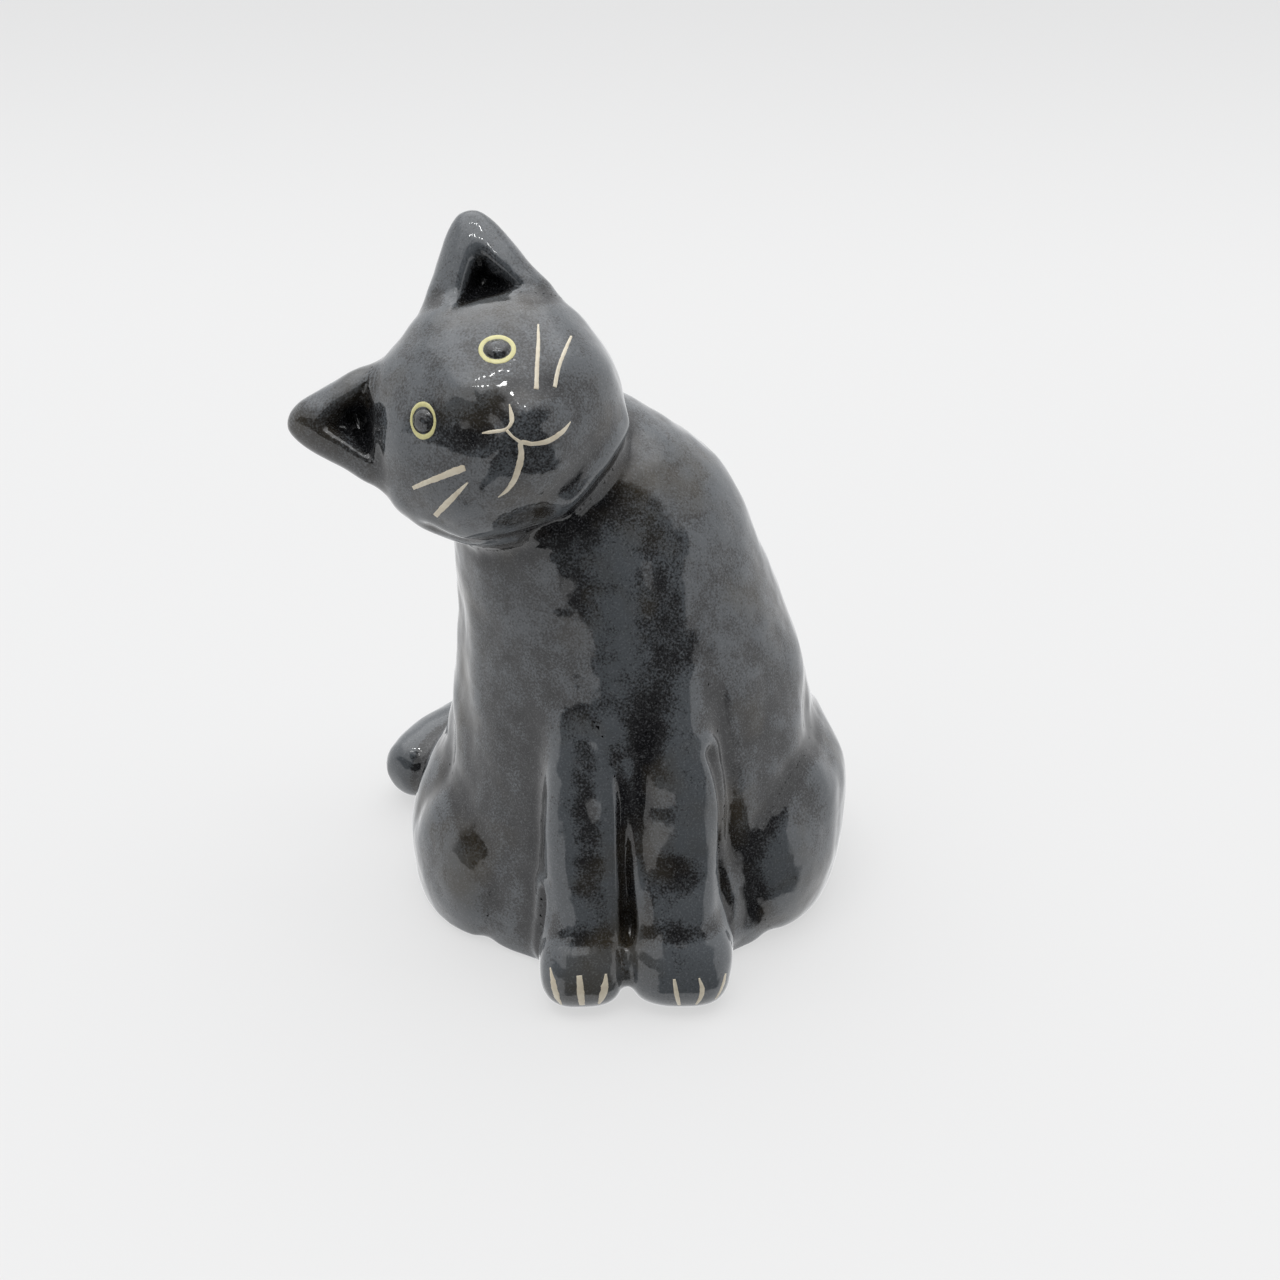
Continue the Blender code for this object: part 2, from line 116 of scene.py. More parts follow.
def maths(tree, operation, *values):
    """Arithmetic on values, each a number or a socket."""
    made = node(tree, "ShaderNodeMath", operation=operation)
    for socket, value in zip(made.inputs, values):
        if isinstance(value, float):
            socket.default_value = value
        else:
            wire(tree, value, socket)
    return made.outputs["Value"]


maker = bmesh.new()
bmesh.ops.create_grid(maker, x_segments=1, y_segments=1, size=FLOOR_SIZE / 2)
floor_mesh = bpy.data.meshes.new("studio_floor")
maker.to_mesh(floor_mesh)
maker.free()
studio_floor = add_object("studio_floor", floor_mesh)
card = bpy.data.materials.new("pale_card")
card.use_nodes = True
card_shader = card.node_tree.nodes["Principled BSDF"]
card_shader.inputs["Base Color"].default_value = (*FLOOR_COLOUR, 1)
card_shader.inputs["Roughness"].default_value = 0.75
card_shader.inputs["Specular IOR Level"].default_value = 0.0
# The floor glows: painted light that stands in for light bounced round the tent. It lifts the cat's shadow,
# and it fades darker behind the cat.
card_shader.inputs["Emission Strength"].default_value = 1.0
tree = card.node_tree
reach = node(tree, "ShaderNodeSeparateXYZ")
wire(tree, node(tree, "ShaderNodeTexCoord").outputs["Object"], reach.inputs["Vector"])
painted_bounce_glow = ranged(tree, reach.outputs["Y"], PAINTED_BOUNCE_FADES, FLOOR_PAINTED_BOUNCE, "SMOOTHSTEP")
wire(tree, painted_bounce_glow, card_shader.inputs["Emission Color"])
floor_mesh.materials.append(card)

# Brightness of the tent's cloth, of the lit cloth overhead, and of the room beyond the opening.
TENT_SIDES = 1.07
TENT_TOP = 2.5
ROOM = 0.05
CLOTH_WHITE = (0.985, 0.99, 1.0, 1)
# Directions are sines: 1 is straight up, or straight to one side.
FOLDS = 0.22  # how far the folds of the cloth shift its edges
TENT_TILT = 0.36  # how far the lit cloth overhead leans to the back
TOP_EDGE = (0.68, 0.95)  # how high the lit cloth overhead begins, and is at its full brightness
FRONT_EDGE = (-0.05, -0.25)  # how far to the front the openings begin, and are at their full depth
EDGE_SOFTNESS = 0.06  # how far each opening's edge is blurred
# Two dark openings in front: the middle and half size of each, sideways and upwards.
OPENINGS = {
    "room": ((0.25, 0.09), (0.60, 0.80)),
    "doorway": ((-0.60, 0.25), (0.42, 0.22)),
}


def band(tree, value, middle, half):
    """1 inside middle plus or minus half, fading to 0 over EDGE_SOFTNESS."""
    away = maths(tree, "ABSOLUTE", maths(tree, "SUBTRACT", value, middle))
    return ranged(tree, away, (half + EDGE_SOFTNESS / 2, half - EDGE_SOFTNESS / 2), (0.0, 1.0), "SMOOTHSTEP")


world = bpy.data.worlds.new("light_tent")
scene.world = world
world.use_nodes = True
tree = world.node_tree
background = tree.nodes["Background"]
outwards = node(tree, "ShaderNodeTexCoord").outputs["Generated"]
folds = noise_at(tree, outwards, 3.5, Detail=2.0)
waver = node(tree, "ShaderNodeVectorMath", operation="MULTIPLY_ADD")
wire(tree, folds.outputs["Color"], waver.inputs[0])
waver.inputs[1].default_value = (FOLDS, FOLDS, FOLDS)
waver.inputs[2].default_value = (-FOLDS / 2, -FOLDS / 2, -FOLDS / 2)
wavered = node(tree, "ShaderNodeVectorMath", operation="ADD")
wire(tree, outwards, wavered.inputs[0])
wire(tree, waver.outputs["Vector"], wavered.inputs[1])
direction = node(tree, "ShaderNodeSeparateXYZ")
wire(tree, wavered.outputs["Vector"], direction.inputs["Vector"])
tilted = maths(tree, "MULTIPLY_ADD", direction.outputs["Y"], TENT_TILT, direction.outputs["Z"])
overhead = ranged(tree, tilted, TOP_EDGE, (TENT_SIDES, TENT_TOP), "SMOOTHSTEP")
ahead = ranged(tree, direction.outputs["Y"], FRONT_EDGE)
opening = 0.0
for (sideways, upwards), (half_width, half_height) in OPENINGS.values():
    across = band(tree, direction.outputs["X"], sideways, half_width)
    upright = band(tree, direction.outputs["Z"], upwards, half_height)
    shape = maths(tree, "MULTIPLY", maths(tree, "MULTIPLY", across, upright), ahead)
    opening = maths(tree, "MAXIMUM", opening, shape)
seen = node(tree, "ShaderNodeMix", data_type="FLOAT")
wire(tree, opening, seen.inputs["Factor"])
wire(tree, overhead, seen.inputs["A"])
seen.inputs["B"].default_value = ROOM
wire(tree, seen.outputs["Result"], background.inputs["Strength"])
background.inputs["Color"].default_value = CLOTH_WHITE
studio_floor.visible_glossy = False

# Rows of small bare lamps overhead, which leave the sparkles: each row's first place and count.
LAMP_ROWS = (((-0.24, -0.13, 0.72), 6), ((-0.18, 0.05, 0.74), 5))
LAMP_STEP = 0.075
LAMP_SIZE = 0.018
LAMP_POWER = 0.05
LAMPS_AIM = Vector((0, 0, 0.04))
for first, count in LAMP_ROWS:
    for number in range(count):
        name = f"lamp_{first[1]}_{number}"
        lamp = add_object(name, bpy.data.lights.new(name, "AREA"))
        lamp.data.shape = "RECTANGLE"
        lamp.data.size = lamp.data.size_y = LAMP_SIZE
        lamp.data.energy = LAMP_POWER
        lamp.location = Vector(first) + Vector((number * LAMP_STEP, 0, 0))
        lamp.rotation_euler = (LAMPS_AIM - lamp.location).to_track_quat("-Z", "Y").to_euler()
scene.view_settings.view_transform = "Standard"

# ---- Charcoal glaze ---------------------------------------------------------------------------
# One glossy stoneware glaze over the whole cat. It breaks to a mottled blue grey where it is thin
# and pools near black where it is thick, with fine pale specks through it.

GLAZE_DARK = (0.006, 0.006, 0.007, 1)
GLAZE_MIDDLE = (0.021, 0.0212, 0.022, 1)
GLAZE_PALE = (0.082, 0.090, 0.098, 1)
GLAZE_OLIVE = (0.056, 0.044, 0.026, 1)
GLAZE_SPECK = (0.24, 0.25, 0.26, 1)
# How thin the glaze is, from 0 to 1, where its colour is dark, middling and pale.
GLAZE_STOPS = ((0.26, GLAZE_DARK), (0.70, GLAZE_MIDDLE), (1.0, GLAZE_PALE))
# How much each of these adds to how thin the glaze is: broad clouds, fine clouds and grain.
BROAD_CLOUDS = 0.20
FINE_CLOUDS = 0.24
GRAIN_WEIGHT = 0.95


def group_of(name, inputs, output):
    """A node group with its inputs and its one output, and its first and last nodes."""
    group = bpy.data.node_groups.new(name, "ShaderNodeTree")
    for key, kind in inputs.items():
        group.interface.new_socket(key, in_out="INPUT", socket_type=kind)
    group.interface.new_socket(output, in_out="OUTPUT", socket_type="NodeSocketFloat")
    return group, node(group, "NodeGroupInput"), node(group, "NodeGroupOutput")


def speckle_group():
    """Pale specks in a glaze: 1 on a speck, times the amount."""
    inputs = {"Place": "NodeSocketVector", "Scale": "NodeSocketFloat", "Amount": "NodeSocketFloat"}
    group, start, end = group_of("speckle", inputs, "Mask")
    grain = noise_at(group, start.outputs["Place"], 1.0, Detail=2.0)
    wire(group, start.outputs["Scale"], grain.inputs["Scale"])
    pick = ranged(group, grain.outputs["Fac"], (0.52, 0.72))
    wire(group, maths(group, "MULTIPLY", pick, start.outputs["Amount"]), end.inputs["Mask"])
    return group


def mottle_group():
    """Cloudy thick and thin places of a dipped glaze: 0 where it pools, 1 where it is thin."""
    inputs = {"Place": "NodeSocketVector", "Scale": "NodeSocketFloat"}
    group, start, end = group_of("glaze_mottle", inputs, "Thin")
    clouds = noise_at(group, start.outputs["Place"], 1.0, Detail=5.0, Roughness=0.62, Distortion=0.6)
    wire(group, start.outputs["Scale"], clouds.inputs["Scale"])
    spread = ranged(group, clouds.outputs["Fac"], (0.30, 0.68), (0.0, 1.0), "SMOOTHSTEP")
    wire(group, spread, end.inputs["Thin"])
    return group


speckle = speckle_group()
mottle = mottle_group()


def placed(tree, group, place, **values):
    """A node group put in a material, with its values."""
    made = node(tree, "ShaderNodeGroup", node_tree=group)
    wire(tree, place, made.inputs["Place"])
    for key, value in values.items():
        made.inputs[key].default_value = value
    return made.outputs[0]


def mixed(tree, factor, a, b):
    """A colour between a and b, each a colour or a socket."""
    mix = node(tree, "ShaderNodeMix", data_type="RGBA")
    wire(tree, factor, mix.inputs["Factor"])
    for socket, value in (("A", a), ("B", b)):
        if isinstance(value, tuple):
            mix.inputs[socket].default_value = value
        else:
            wire(tree, value, mix.inputs[socket])
    return mix.outputs["Result"]


def charcoal_glaze():
    material = bpy.data.materials.new("charcoal_glaze")
    material.use_nodes = True
    tree = material.node_tree
    shader = tree.nodes["Principled BSDF"]
    place = node(tree, "ShaderNodeTexCoord").outputs["Object"]

    # The clay's own hollows and edges, where the glaze pools and breaks, come in as a point attribute that
    # the shaping below works out. It also holds the painted reflection that darkens the ears and muzzle.
    thinness_and_painted_reflection = node(tree, "ShaderNodeAttribute", attribute_name="pooling_and_painted_reflection").outputs["Fac"]
    broad = placed(tree, mottle, place, Scale=48.0)
    fine = placed(tree, mottle, place, Scale=420.0)
    grain = noise_at(tree, place, 3600.0, Detail=1.0).outputs["Fac"]
    for part, weight in ((broad, BROAD_CLOUDS), (fine, FINE_CLOUDS), (grain, GRAIN_WEIGHT)):
        thinness_and_painted_reflection = maths(tree, "MULTIPLY_ADD", part, weight, thinness_and_painted_reflection)
    ramp = node(tree, "ShaderNodeValToRGB")
    (first, dark), (second, middle), (third, pale) = GLAZE_STOPS
    ramp.color_ramp.elements[0].position = first
    ramp.color_ramp.elements[0].color = dark
    ramp.color_ramp.elements[1].position = third
    ramp.color_ramp.elements[1].color = pale
    ramp.color_ramp.elements.new(second).color = middle
    wire(tree, thinness_and_painted_reflection, ramp.inputs["Fac"])

    olive = noise_at(tree, place, 90.0, Detail=3.0).outputs["Fac"]
    tinge = ranged(tree, olive, (0.52, 0.74), (0.0, 0.6))
    tinted = mixed(tree, tinge, ramp.outputs["Color"], GLAZE_OLIVE)
    specks = placed(tree, speckle, place, Scale=3900.0, Amount=0.26)
    wire(tree, mixed(tree, specks, tinted, GLAZE_SPECK), shader.inputs["Base Color"])

    ripple = noise_at(tree, place, 170.0, Detail=3.0)
    bump = node(tree, "ShaderNodeBump")
    bump.inputs["Strength"].default_value = 0.25
    bump.inputs["Distance"].default_value = 0.0006
    wire(tree, ripple.outputs["Fac"], bump.inputs["Height"])
    wire(tree, bump.outputs["Normal"], shader.inputs["Normal"])
    shader.inputs["Roughness"].default_value = 0.06
    shader.inputs["IOR"].default_value = 1.55
    return material


charcoal = charcoal_glaze()

# ---- The clay body ----------------------------------------------------------------------------
# Nine pieces of clay, luted together while soft: the seams are wiped over with wet fingers, so
# one skin of clay runs over all of them. It is shaped as one here and parted again at the seams.

CLAY_PIECES = (
    "trunk", "head", "ear_left", "ear_right", "foreleg_left", "foreleg_right",
    "haunch_left", "haunch_right", "tail",
)
SEAM_FILL = 0.5 * MM  # how far wet clay is worked into a seam
GRAIN = 0.45 * MM  # size of the skin's faces


def applied(obj, kind, **settings):
    """Adds one modifier and keeps its result."""
    modifier = obj.modifiers.new(kind.lower(), kind)
    for key, value in settings.items():
        setattr(modifier, key, value)
    graph = bpy.context.evaluated_depsgraph_get()
    mesh = bpy.data.meshes.new_from_object(obj.evaluated_get(graph))
    obj.modifiers.clear()
    obj.data = mesh


maker = bmesh.new()
for name in CLAY_PIECES:
    maker.from_mesh(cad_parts[name].data)
bmesh.ops.remove_doubles(maker, verts=maker.verts, dist=1e-6)
skin_mesh = bpy.data.meshes.new("skin")
maker.to_mesh(skin_mesh)
maker.free()
skin = add_object("skin", skin_mesh)
applied(skin, "DISPLACE", strength=SEAM_FILL, mid_level=0.0)
applied(skin, "REMESH", mode="VOXEL", voxel_size=GRAIN)
applied(skin, "SMOOTH", factor=0.5, iterations=8)
applied(skin, "DISPLACE", strength=-SEAM_FILL, mid_level=0.0)


def numbers(things, key, kind=float, width=3):
    """One array of a mesh's values, such as the places of its vertices."""
    found = np.empty(len(things) * width, kind)
    things.foreach_get(key, found)
    return found.reshape(-1, width) if width > 1 else found


def piece_of_each_face(mesh):
    """For each face of the skin, the number in CLAY_PIECES of the clay piece nearest to it."""
    corners, faces, owners = [], [], []
    for number, name in enumerate(CLAY_PIECES):
        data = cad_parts[name].data
        start = len(corners)
        corners += [vert.co.copy() for vert in data.vertices]
        faces += [[start + k for k in face.vertices] for face in data.polygons]
        owners += [number] * len(data.polygons)
    nearest = BVHTree.FromPolygons(corners, faces)
    middles = numbers(mesh.polygons, "center")
    return np.array([owners[nearest.find_nearest(Vector(middle))[2]] for middle in middles])


def neighbours(mesh):
    """Pairs of faces that share an edge."""
    sides = numbers(mesh.loops, "edge_index", np.int32, 1)
    totals = numbers(mesh.polygons, "loop_total", np.int32, 1)
    faces = np.repeat(np.arange(len(totals)), totals)
    order = np.argsort(sides, kind="stable")
    sides, faces = sides[order], faces[order]
    same = sides[1:] == sides[:-1]
    return np.stack([faces[:-1][same], faces[1:][same]], axis=1)


def evened(owner, pairs, rounds):
    """Straightens the seams: each face takes the piece that most of its neighbours have."""
    for _ in range(rounds):
        votes = np.zeros((len(owner), len(CLAY_PIECES)), np.int32)
        votes[np.arange(len(owner)), owner] += 1
        np.add.at(votes, (pairs[:, 0], owner[pairs[:, 1]]), 1)
        np.add.at(votes, (pairs[:, 1], owner[pairs[:, 0]]), 1)
        owner = votes.argmax(axis=1)
    return owner


def one_patch_each(owner, pairs):
    """Gives any stray patch of a piece to the piece round it, until each piece is one patch."""
    links = [[] for _ in owner]
    for a, b in pairs:
        links[a].append(b)
        links[b].append(a)
    patch = np.full(len(owner), -1)
    sizes = []
    for seed in range(len(owner)):
        if patch[seed] >= 0:
            continue
        patch[seed] = len(sizes)
        waiting, size = [seed], 0
        while waiting:
            at = waiting.pop()
            size += 1
            for other in links[at]:
                if patch[other] < 0 and owner[other] == owner[at]:
                    patch[other] = len(sizes)
                    waiting.append(other)
        sizes.append(size)
    sizes = np.array(sizes)
    keep = set()
    for number in range(len(CLAY_PIECES)):
        found = np.unique(patch[owner == number])
        keep.add(found[sizes[found].argmax()])
    stray = ~np.isin(patch, list(keep))
    while stray.any():
        for a, b in pairs:
            if stray[a] and not stray[b]:
                owner[a], stray[a] = owner[b], False
            elif stray[b] and not stray[a]:
                owner[b], stray[b] = owner[a], False
    return owner


face_pairs = neighbours(skin.data)
face_owner = evened(piece_of_each_face(skin.data), face_pairs, rounds=6)
face_owner = one_patch_each(face_owner, face_pairs)

# From here on the clay is an array of points in millimetres, moved about as fingers would.
clay = numbers(skin.data.vertices, "co") / MM
skin_edges = numbers(skin.data.edges, "vertices", np.int32, 2)
links_each = np.bincount(skin_edges.ravel(), minlength=len(clay))[:, None]


def beside(values):
    """For each point, the mean of the values at the points next to it."""
    total = np.zeros_like(values)
    for column in range(values.shape[1]):
        for near, far in ((0, 1), (1, 0)):
            weights = values[skin_edges[:, far], column]
            total[:, column] += np.bincount(skin_edges[:, near], weights, len(values))
    return total / links_each


def wiped(strength, rounds):
    """Smooths the clay, by a strength from 0 to 1 at each point."""
    for _ in range(rounds):
        clay[:] += (beside(clay) - clay) * strength * 0.6


def near(centre, radii):
    """1 at the centre, falling smoothly to 0 over about two radii."""
    away = (clay - np.array(centre)) / np.array(radii)
    return np.exp(-(away**2).sum(axis=1))[:, None]


def swell(centre, radii, push):
    """Moves the clay near a place, by push in millimetres."""
    clay[:] += near(centre, radii) * np.array(push)


def outward():
    """The directions out of the clay as it is now."""
    skin.data.vertices.foreach_set("co", (clay * MM).ravel())
    skin.data.update()
    return numbers(skin.data.vertices, "normal")


def distance_to_path(path):
    """How far each point of the clay is from a line through the places in path."""
    nearest = np.full(len(clay), np.inf)
    path = np.array(path, float)
    for start, end in zip(path[:-1], path[1:]):
        along = end - start
        share = np.clip((clay - start) @ along / (along @ along), 0, 1)[:, None]
        nearest = np.minimum(nearest, np.linalg.norm(clay - start - share * along, axis=1))
    return nearest[:, None]


def crease(path, width, depth, lip=0.0):
    """Presses a line into the clay, and raises a soft lip beside it. Widths in millimetres."""
    away = distance_to_path(path)
    lips = np.exp(-(((away - 2.2 * width) / width) ** 2))
    clay[:] += outward() * (lip * lips - depth * np.exp(-((away / width) ** 2)))


def seam_strength(rounds):
    """1 on the seams between clay pieces, spread to the clay beside them."""
    seam = np.zeros((len(clay), 1))
    corners = numbers(skin.data.loops, "vertex_index", np.int32, 1)
    owners = np.repeat(face_owner, numbers(skin.data.polygons, "loop_total", np.int32, 1))
    lowest = np.full(len(clay), len(CLAY_PIECES))
    highest = np.zeros(len(clay), int)
    np.minimum.at(lowest, corners, owners)
    np.maximum.at(highest, corners, owners)
    seam[lowest != highest] = 1.0
    for _ in range(rounds):
        seam = np.maximum(seam, beside(seam) * 1.04)
    return np.clip(seam, 0, 1)


SEAM_BAND = 9  # how many grains wide the wiped band is
wiped(0.8, rounds=6)
wiped(seam_strength(SEAM_BAND), rounds=60)

# ---- Head -------------------------------------------------------------------------------------
# A ball of clay that leans to the cat's right and looks up. Its muzzle is pinched forward in two
# soft pads over a small chin, and its jaw meets the chest in a crease.

FACE_UP = radians(33)  # how far the face looks up
FACE_LEAN = radians(45)  # how far it leans to the cat's right
# Where the point between the eyes lies from the head's centre, in millimetres.
EYES_ABOVE_CENTRE = 6.2
EYES_OFF_CENTRE = -0.3
EYES_FORWARD = 13.6


def middle_of(name):
    low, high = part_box(name)
    return np.array((low + high) / 2) / MM


face_turn = np.array(Matrix.Rotation(-FACE_UP, 3, "X") @ Matrix.Rotation(-FACE_LEAN, 3, "Y"))
face_back = face_turn[:, 1]
between_eyes = (middle_of("pupil_left") + middle_of("pupil_right")) / 2
head_centre = between_eyes - face_turn @ np.array([EYES_OFF_CENTRE, -EYES_FORWARD, EYES_ABOVE_CENTRE])


def on_head(left, back, top):
    """A place on the head: millimetres to the cat's left, back into the head, and up."""
    return head_centre + face_turn @ np.array([left, back, top])


# Lumps put on the head: each one's place, radii and push, in millimetres to the cat's left, back
# into the head, and up. They are the crown between and beside the ears, with the neck's flare,
# then the muzzle's two pads, the chin, and the dip at the bridge of the nose.
HEAD_LUMPS = (
    ((-8.5, -3, 15.5), (4.5, 5, 4.0), (0.0, 0, 1.1)),
    ((4.0, -3, 17.0), (3.6, 5, 4.0), (-0.6, 0, 1.0)),
    ((15.6, 0, 5.6), (4.0, 6, 5.0), (1.0, 0, 0.2)),
    ((-16.4, -1, 3.8), (4.0, 5, 4.6), (-1.2, 0, -0.3)),
    ((-4.2, -15, -4.0), (3.6, 5, 3.0), (0, -0.5, 0)),
    ((3.4, -15, -4.0), (3.6, 5, 3.0), (0, -0.5, 0)),
    ((-0.6, -14, -8.8), (3.6, 5, 2.2), (0, -0.7, -0.2)),
    ((-0.4, -15, 4.4), (5.0, 5, 3.0), (0, -0.7, 0)),
)
for place, radii, push in HEAD_LUMPS:
    away = ((clay - head_centre) @ face_turn - np.array(place)) / np.array(radii)
    clay += np.exp(-(away**2).sum(axis=1))[:, None] * (face_turn @ np.array(push))

# The jaw over the chest, and the cheek that runs softly into the shoulder.
JAW = (
    (-17.5, -13.8, 61.5), (-13.7, -14.6, 59.3), (-9.8, -16.4, 60.4), (-5.9, -15.6, 60.9), (-2.6, -13.2, 61.5)
)
CHEEK_VALLEY = ((-0.5, -15.2, 65.8), (2.5, -13.2, 68.5), (4.9, -10.2, 70.2), (6.3, -5.5, 71.0))
crease(JAW, 1.1, 0.45, 0.15)
crease(CHEEK_VALLEY, 2.2, -0.9)

# ---- Ears -------------------------------------------------------------------------------------
# Two flattened cones that flare into the crown. A three-cornered tool has pressed a cup into the
# front of each, which leaves a rim round it and a little fold on its floor.

CUP_DEPTH = 2.6
CUP_WALL = 1.7  # how far in from the cup's edge its floor begins
EAR_THICKER = 0.45  # how much clay each ear gains all round
EAR_REACH = 6.5  # how far from an ear's middle it gains that clay
# The three corners of each cup, to the cat's left and up the face, in millimetres.
EAR_CUPS = {
    "ear_left": ((13.4, 18.2), (13.9, 10.2), (5.2, 14.0)),
    "ear_right": ((-16.4, 16.4), (-14.8, 7.8), (-8.0, 15.6)),
}
EAR_MIDDLES = {"ear_left": (12.8, -1, 16.5), "ear_right": (-14.6, -1, 14.8)}


def smooth_step(values):
    held = np.clip(values, 0, 1)
    return held * held * (3 - 2 * held)


for name, corners in EAR_CUPS.items():
    away = ((clay - head_centre) @ face_turn - np.array(EAR_MIDDLES[name])) / EAR_REACH
    on_ear = np.exp(-(away**2)).prod(axis=1)
    clay += outward() * EAR_THICKER * on_ear[:, None]
    own = (clay - head_centre) @ face_turn
    flat = own[:, [0, 2]]
    corners = np.array(corners)
    middle = corners.mean(axis=0)
    inside = np.full(len(clay), np.inf)
    for start, end in zip(corners, np.roll(corners, -1, axis=0)):
        side = np.array([start[1] - end[1], end[0] - start[0]])
        side = side / np.linalg.norm(side)
        side = side if (middle - start) @ side > 0 else -side
        inside = np.minimum(inside, (flat - start) @ side)
    front = smooth_step((-(outward() @ face_back)) / 0.5)
    depth = CUP_DEPTH * smooth_step((inside + 0.3) / CUP_WALL) * front * (own[:, 1] < 3)
    clay += depth[:, None] * face_back
    wiped(smooth_step((on_ear - 0.3) / 0.4)[:, None], rounds=5)

# ---- Forelegs ---------------------------------------------------------------------------------
# Two coils side by side, wiped into the chest at the shoulder and parted by a tooled channel.
# Each ends in a blunt paw that was tapped flat in front.

CHANNEL = ((4.4, -21.6, 35.0), (5.1, -24.2, 28.0), (5.9, -27.0, 18.0), (6.7, -29.5, 9.0), (7.1, -30.5, -1.0))
LEFT_OUTSIDE = (
    (17.0, -21.8, 32.0), (17.4, -23.0, 24.0), (18.4, -24.4, 15.0), (20.0, -25.4, 6.0), (20.4, -25.5, -1.0)
)
RIGHT_OUTSIDE = ((-4.2, -25.9, 13.0), (-4.6, -26.4, 9.0), (-5.0, -26.4, 4.0), (-5.2, -26.4, -1.0))
RIGHT_VALLEY = ((-3.2, -22.0, 36.0), (-3.2, -24.0, 28.0), (-3.4, -25.2, 21.0), (-3.8, -25.8, 15.0))
BREAST = ((5.2, -15.5, 56), (5.6, -18.5, 46), (5.4, -21, 39))
# Each paw's middle and half size, in millimetres like all the numbers below.
PAWS = {
    "foreleg_right": ((0.55, -28.6, 3.6), (5.9, 7.6, 7.4)),
    "foreleg_left": ((13.6, -28.3, 4.0), (6.9, 7.8, 8.0)),
}
# Each leg's middle at LEG_LOW and at twice that height above the table, and its half size.
LEGS = {
    "foreleg_right": ((1.0, -24.6, 0.5, -20.8), (4.9, 5.1)),
    "foreleg_left": ((12.6, -23.6, 11.4, -19.2), (6.3, 6.2)),
}
LEG_LOW = 15  # millimetres above the table
BLUNTNESS = 3.0  # 2 is a round form, and more is squarer across


def squared(across, along):
    """How far out each point lies on a round form of half size 1, and how many times farther
    out it lies on a squarer one."""
    flat = np.stack([np.abs(across), np.abs(along)])
    reach = np.linalg.norm(flat, axis=0)
    return reach, reach / np.maximum((flat**BLUNTNESS).sum(axis=0) ** (1 / BLUNTNESS), 1e-6)


clay += np.array([0, -1.7, 0.3]) * np.exp(-((distance_to_path(CHANNEL) / 3.0) ** 2))
for middle, half in PAWS.values():
    own = (clay - np.array(middle)) / np.array(half)
    reach, squarer = squared(own[:, 0], np.hypot(own[:, 1], own[:, 2]))
    weight = np.exp(-(((reach - 1) / 0.3) ** 2)) * smooth_step((-own[:, 1] + 0.9) / 0.8)
    clay += ((squarer - 1) * weight)[:, None] * (clay - np.array(middle))
for (low_x, low_y, high_x, high_y), half in LEGS.values():
    climb = (clay[:, 2] - LEG_LOW) / LEG_LOW
    middle = np.stack([low_x + (high_x - low_x) * climb, low_y + (high_y - low_y) * climb], axis=1)
    own = (clay[:, :2] - middle) / np.array(half)
    reach, squarer = squared(own[:, 0], own[:, 1])
    weight = np.exp(-(((reach - 1) / 0.35) ** 2)) * smooth_step(-own[:, 1])
    weight *= smooth_step((clay[:, 2] - 10) / 5)
    weight *= smooth_step((36 - clay[:, 2]) / 8)
    clay[:, :2] += ((squarer - 1) * weight)[:, None] * (clay[:, :2] - middle)
crease(RIGHT_VALLEY, 2.6, -0.7)
crease(BREAST, 5.0, -0.8)
swell((20.6, -24.0, 18.5), (2.6, 4, 4.0), (-0.8, 0.3, 0))
swell((14.0, -31.0, 19.0), (6.0, 3, 2.6), (0, 1.0, 0))
swell((14.0, -31.5, 12.5), (6.5, 4, 3.6), (0, -1.5, 0.2))
swell((0.6, -31.0, 11.5), (5.5, 4, 3.2), (0, -1.0, 0.2))
swell((1, -21, 40), (6, 4, 5), (0, -0.7, 0))
# Wiped smooth between the legs, where they leave the chest, and at the ankles.
wiped(near((6, -27, 14), (12, 9, 16)), rounds=8)
wiped(near((2, -22, 37), (14, 7, 8)), rounds=80)
wiped(near((6, -29, 13.5), (13, 6, 4.5)), rounds=50)
crease(CHANNEL, 0.85, 2.6, 0.25)
crease(LEFT_OUTSIDE, 0.9, 0.6, 0.3)
crease(RIGHT_OUTSIDE, 0.8, 0.9, 0.25)

# ---- Back, haunches and tail ------------------------------------------------------------------
# The back is full over the cat's left shoulder. The hips are pads that were pinched on, so they
# are lumpy, with folds where the thumb drew them down, and the tail lies against the right one.

HIP_FOLD = ((26.4, -6.5, 41), (27.2, -5.6, 36), (27.6, -8.5, 30))
LEFT_THUMB_FOLD = ((29.0, 3, 31), (30.6, -3, 28), (31.2, -8, 25))
RIGHT_THUMB_FOLD = ((-19.0, 2, 27), (-18.2, -4, 23.5), (-19.6, -7, 18), (-21.4, -5, 11))
RIGHT_FLANK_FOLD = ((-17.6, -4, 43), (-18.0, -6, 36), (-17.2, -9, 29))
# Where the glaze is painted darker, as painted reflection of the dim room: each place on the head, its size
# in millimetres, and how much darker it comes out. They are the right ear, left ear and muzzle.
PAINTED_DARK_REFLECTIONS = (((-19, 0, 14), 9.0, 0.6), ((13, 0, 14), 8.0, 0.25), ((0.0, -15, -4), 11.0, 0.34))
SHARP_RISE = 0.006  # the rise, in millimetres, at which an edge or a hollow counts in full
POOLED_WEIGHT = 0.42  # how much the hollows and edges decide where the glaze is thick

